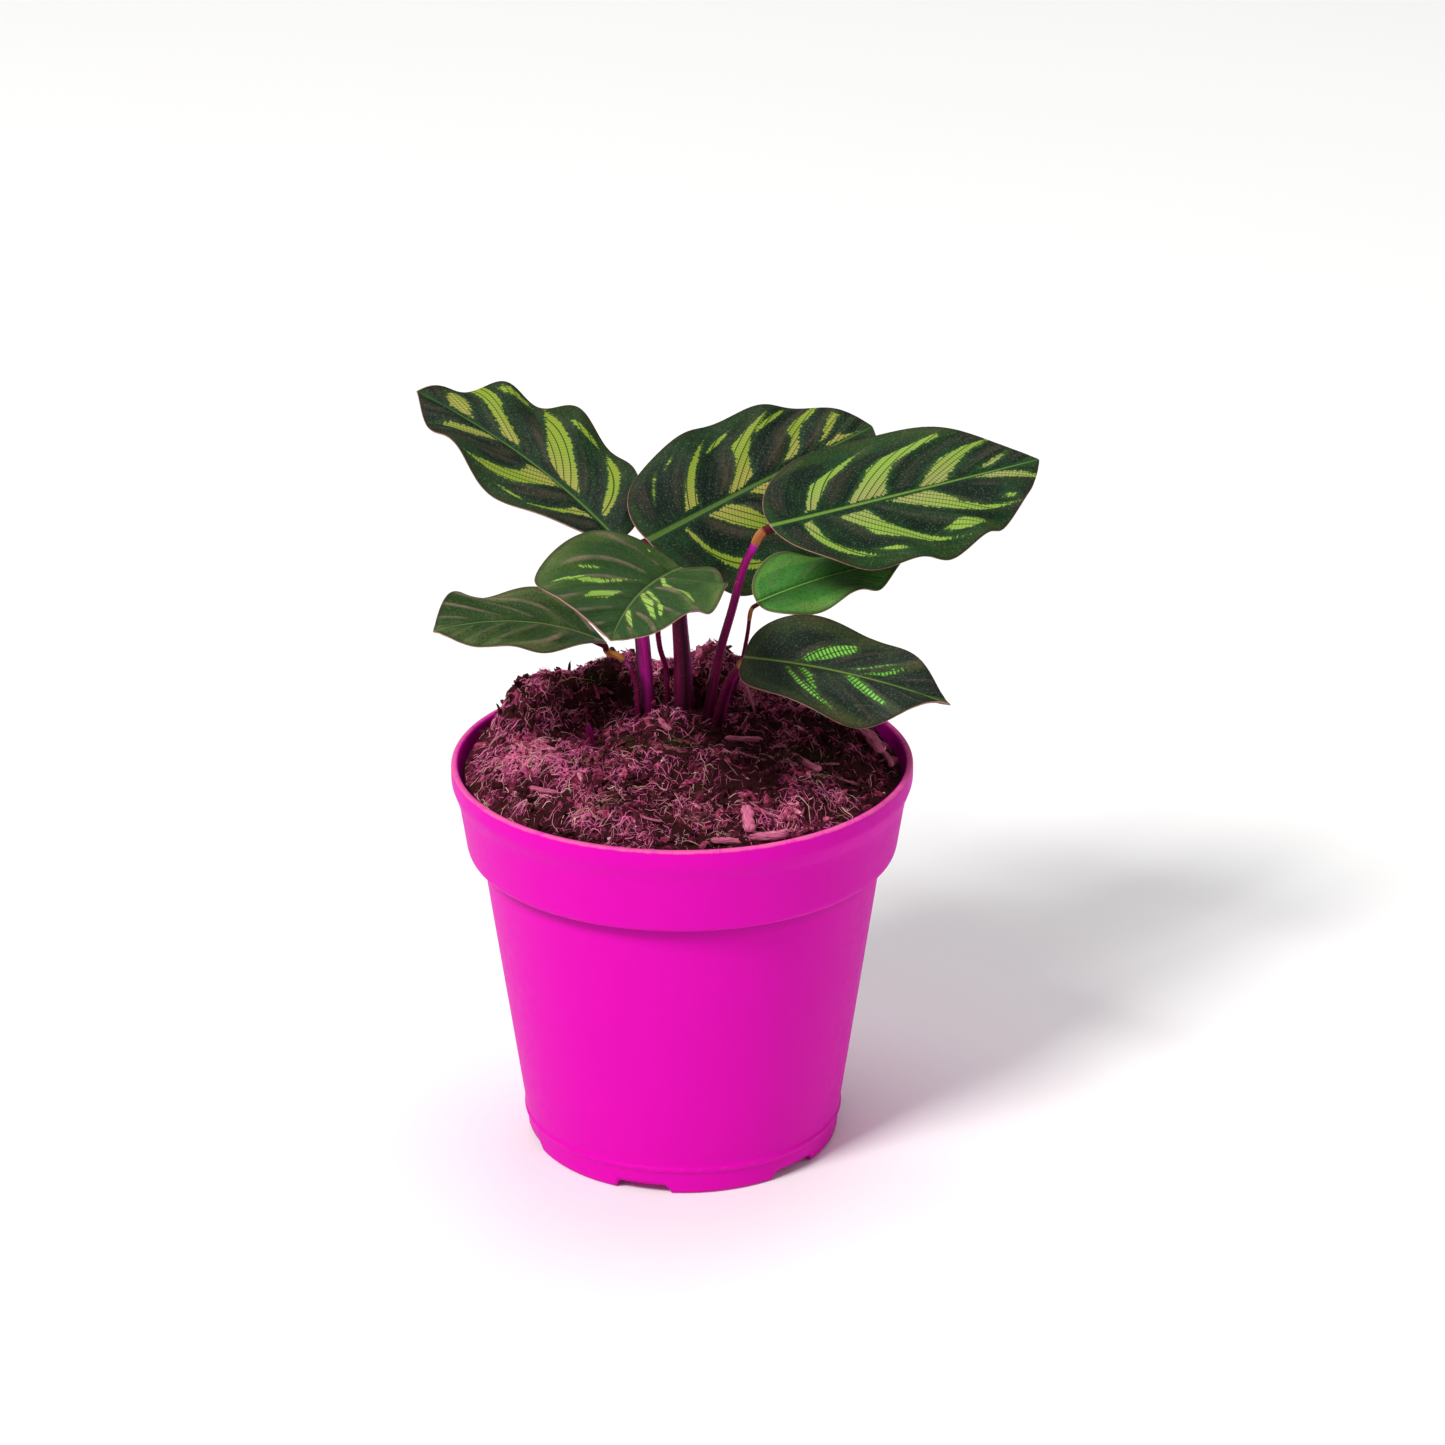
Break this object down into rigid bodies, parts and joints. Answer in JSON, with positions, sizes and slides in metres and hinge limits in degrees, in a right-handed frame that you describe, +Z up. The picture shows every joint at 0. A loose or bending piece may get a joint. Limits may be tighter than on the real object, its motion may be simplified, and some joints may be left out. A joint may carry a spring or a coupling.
{
  "type": "potted calathea",
  "caption": "Young calathea with striped oval leaves on purple stalks, rising from heaped potting soil in a thin round nursery pot with a flared lip and a notched foot",
  "frame": {"origin": "middle of the bounding box, at the height of the surface the pot stands on; the pot's axis stands 10.3 mm to -X and 3.8 mm to +Y of it", "axes": "+Z up along the pot's axis, -Y toward the front of the plant as it was pictured, +X to the right seen from the front"},
  "size_m": [0.1417, 0.1159, 0.1635],
  "materials": {
    "pot_plastic": "magenta injection moulded polypropylene, soft sheen",
    "potting_soil": "loose peat, bark chips and root fibres, matt",
    "leaf_green": "living leaf, dark green with light stripes, satin above, purple below",
    "young_leaf_green": "young living leaf, plain fresh green, satin",
    "stalk_purple": "living stalk, purple with an orange joint under the blade, satin"
  },
  "bodies": {
    "root": {"pot": "pot_plastic", "soil": "potting_soil", "blade_upper_left": "leaf_green", "blade_back": "leaf_green", "blade_right": "leaf_green", "blade_front": "leaf_green", "blade_lower_left": "leaf_green", "blade_lower_right": "leaf_green", "blade_young": "young_leaf_green", "stalk_upper_left": "stalk_purple", "stalk_back": "stalk_purple", "stalk_right": "stalk_purple", "stalk_front": "stalk_purple", "stalk_lower_left": "stalk_purple", "stalk_young": "stalk_purple", "stalk_lower_right": "stalk_purple", "shoot": "stalk_purple"}
  },
  "joints": []
}
